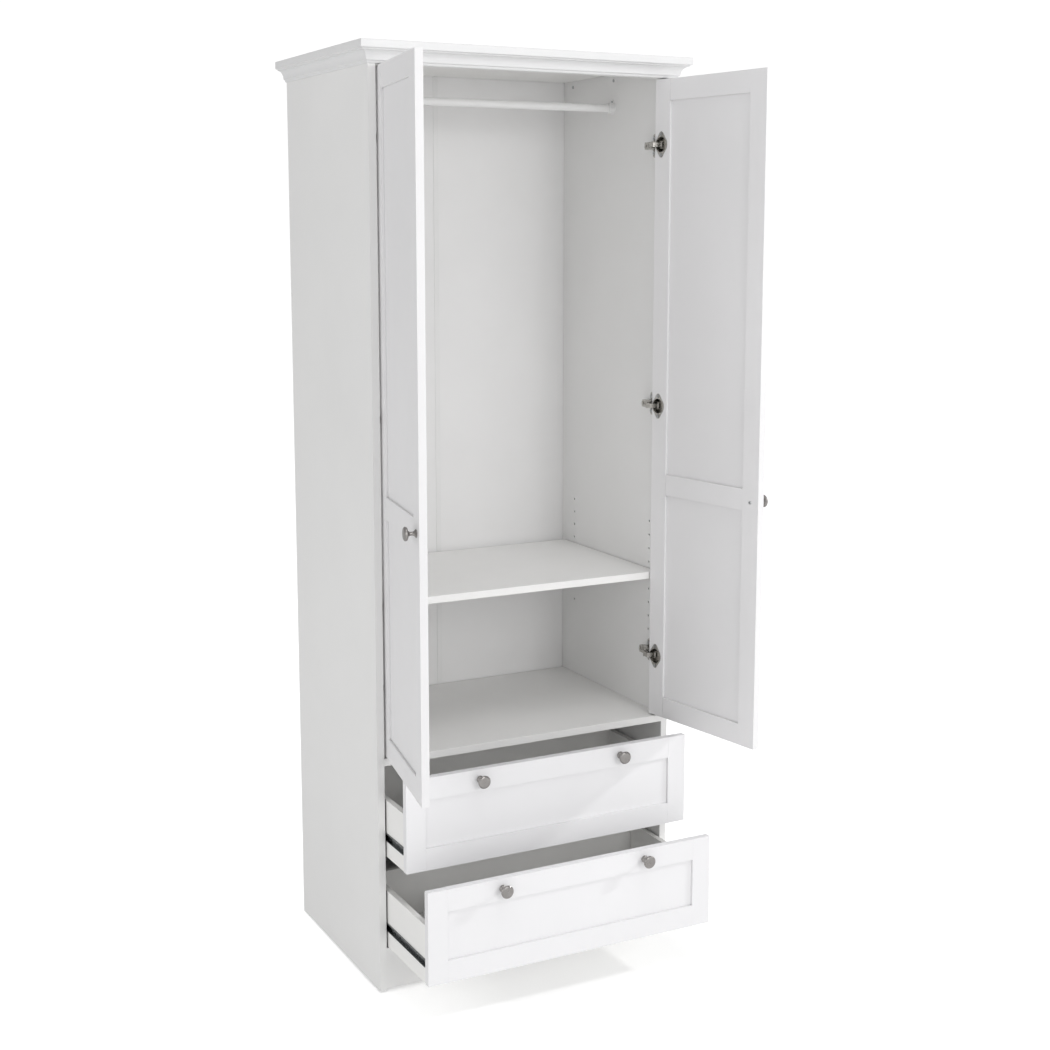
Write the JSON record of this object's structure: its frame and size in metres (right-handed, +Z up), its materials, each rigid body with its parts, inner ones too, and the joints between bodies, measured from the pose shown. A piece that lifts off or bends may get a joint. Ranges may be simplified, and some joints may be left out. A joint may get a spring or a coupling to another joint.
{
  "type": "wardrobe with doors",
  "caption": "Tall country-style wardrobe with a crown moulding, panelled hinged doors, a hanging rod, an adjustable shelf and panelled drawers on ball-bearing slides.",
  "frame": {"origin": "on the floor, under the middle of the carcass's width and depth", "axes": "+Z up, +X to the right seen from the front, +Y to the back; doors and drawers open towards -Y"},
  "size_m": [0.8382, 0.8036, 2.01],
  "materials": {
    "white_paint": "satin white paint on wood-based board",
    "white_board": "smooth matt white faced board",
    "knob_metal": "satin antique nickel",
    "nickel_steel": "nickel plated",
    "zinc_steel": "zinc plated",
    "slide_steel": "dark coated steel, semi-gloss",
    "cage_steel": "plain steel with hardened balls",
    "beech": "unfinished fluted beech",
    "white_plastic": "matt",
    "rod_coating": "smooth white coating, semi-gloss"
  },
  "bodies": {
    "carcass": {"side_panel_left": "white_paint", "side_panel_right": "white_paint", "top_panel": "white_board", "top_front_rail": "white_paint", "fixed_shelf": "white_board", "bottom_panel": "white_board", "plinth_front": "white_paint", "back_panel_left": "white_board", "back_panel_right": "white_board", "back_joining_strip": "white_plastic", "cornice_front": "white_paint", "cornice_left": "white_paint", "cornice_right": "white_paint", "cornice_screws": "zinc_steel", "adjustable_shelf": "white_board", "shelf_pins": "nickel_steel", "hanging_rod": "rod_coating", "rod_sockets": "white_plastic", "cam_locks": "zinc_steel", "cam_bolts": "zinc_steel", "wood_dowels": "beech", "floor_glides": "white_plastic", "hinge_plates": "nickel_steel", "hinge_arms": "nickel_steel", "hinge_pins": "zinc_steel", "fitting_screws": "zinc_steel", "cabinet_slide_members": "slide_steel"},
    "door_left": {"door_left_stiles": "white_paint", "door_left_rails": "white_paint", "door_left_panels": "white_paint", "door_left_knob": "knob_metal", "door_left_hinge_cups": "nickel_steel", "door_left_screws": "zinc_steel"},
    "door_right": {"door_right_stiles": "white_paint", "door_right_rails": "white_paint", "door_right_panels": "white_paint", "door_right_knob": "knob_metal", "door_right_hinge_cups": "nickel_steel", "door_right_screws": "zinc_steel"},
    "upper_drawer": {"upper_drawer_front_stiles": "white_paint", "upper_drawer_front_rails": "white_paint", "upper_drawer_front_panel": "white_paint", "upper_drawer_sides": "white_board", "upper_drawer_back": "white_board", "upper_drawer_bottom": "white_board", "upper_drawer_knobs": "knob_metal", "upper_drawer_slide_members": "slide_steel", "upper_drawer_screws": "zinc_steel"},
    "lower_drawer": {"lower_drawer_front_stiles": "white_paint", "lower_drawer_front_rails": "white_paint", "lower_drawer_front_panel": "white_paint", "lower_drawer_sides": "white_board", "lower_drawer_back": "white_board", "lower_drawer_bottom": "white_board", "lower_drawer_knobs": "knob_metal", "lower_drawer_slide_members": "slide_steel", "lower_drawer_screws": "zinc_steel"},
    "upper_cages": {"upper_slide_cages": "cage_steel"},
    "lower_cages": {"lower_slide_cages": "cage_steel"}
  },
  "joints": [
    {"name": "door_left_hinge", "type": "hinge", "parent": "carcass", "child": "door_left", "pos_m": [-0.3335, -0.2338, 1.2455], "axis": [0, 0, -1], "range_deg": [-100.5, 4.5]},
    {"name": "door_right_hinge", "type": "hinge", "parent": "carcass", "child": "door_right", "pos_m": [0.3335, -0.2338, 1.2455], "axis": [0, 0, 1], "range_deg": [-99, 6]},
    {"name": "upper_drawer_slide", "type": "slide", "parent": "carcass", "child": "upper_drawer", "axis": [0, -1, 0], "range_m": [-0.107, 0.118]},
    {"name": "lower_drawer_slide", "type": "slide", "parent": "carcass", "child": "lower_drawer", "axis": [0, -1, 0], "range_m": [-0.213, 0.012]},
    {"name": "upper_cages_travel", "type": "slide", "parent": "carcass", "child": "upper_cages", "axis": [0, -1, 0], "range_m": [-0.0536, 0.0591]},
    {"name": "lower_cages_travel", "type": "slide", "parent": "carcass", "child": "lower_cages", "axis": [0, -1, 0], "range_m": [-0.1066, 0.0061]}
  ],
  "couplings": [
    {"joint": "upper_cages_travel", "follows": "upper_drawer_slide", "ratio": 0.5},
    {"joint": "lower_cages_travel", "follows": "lower_drawer_slide", "ratio": 0.5}
  ]
}
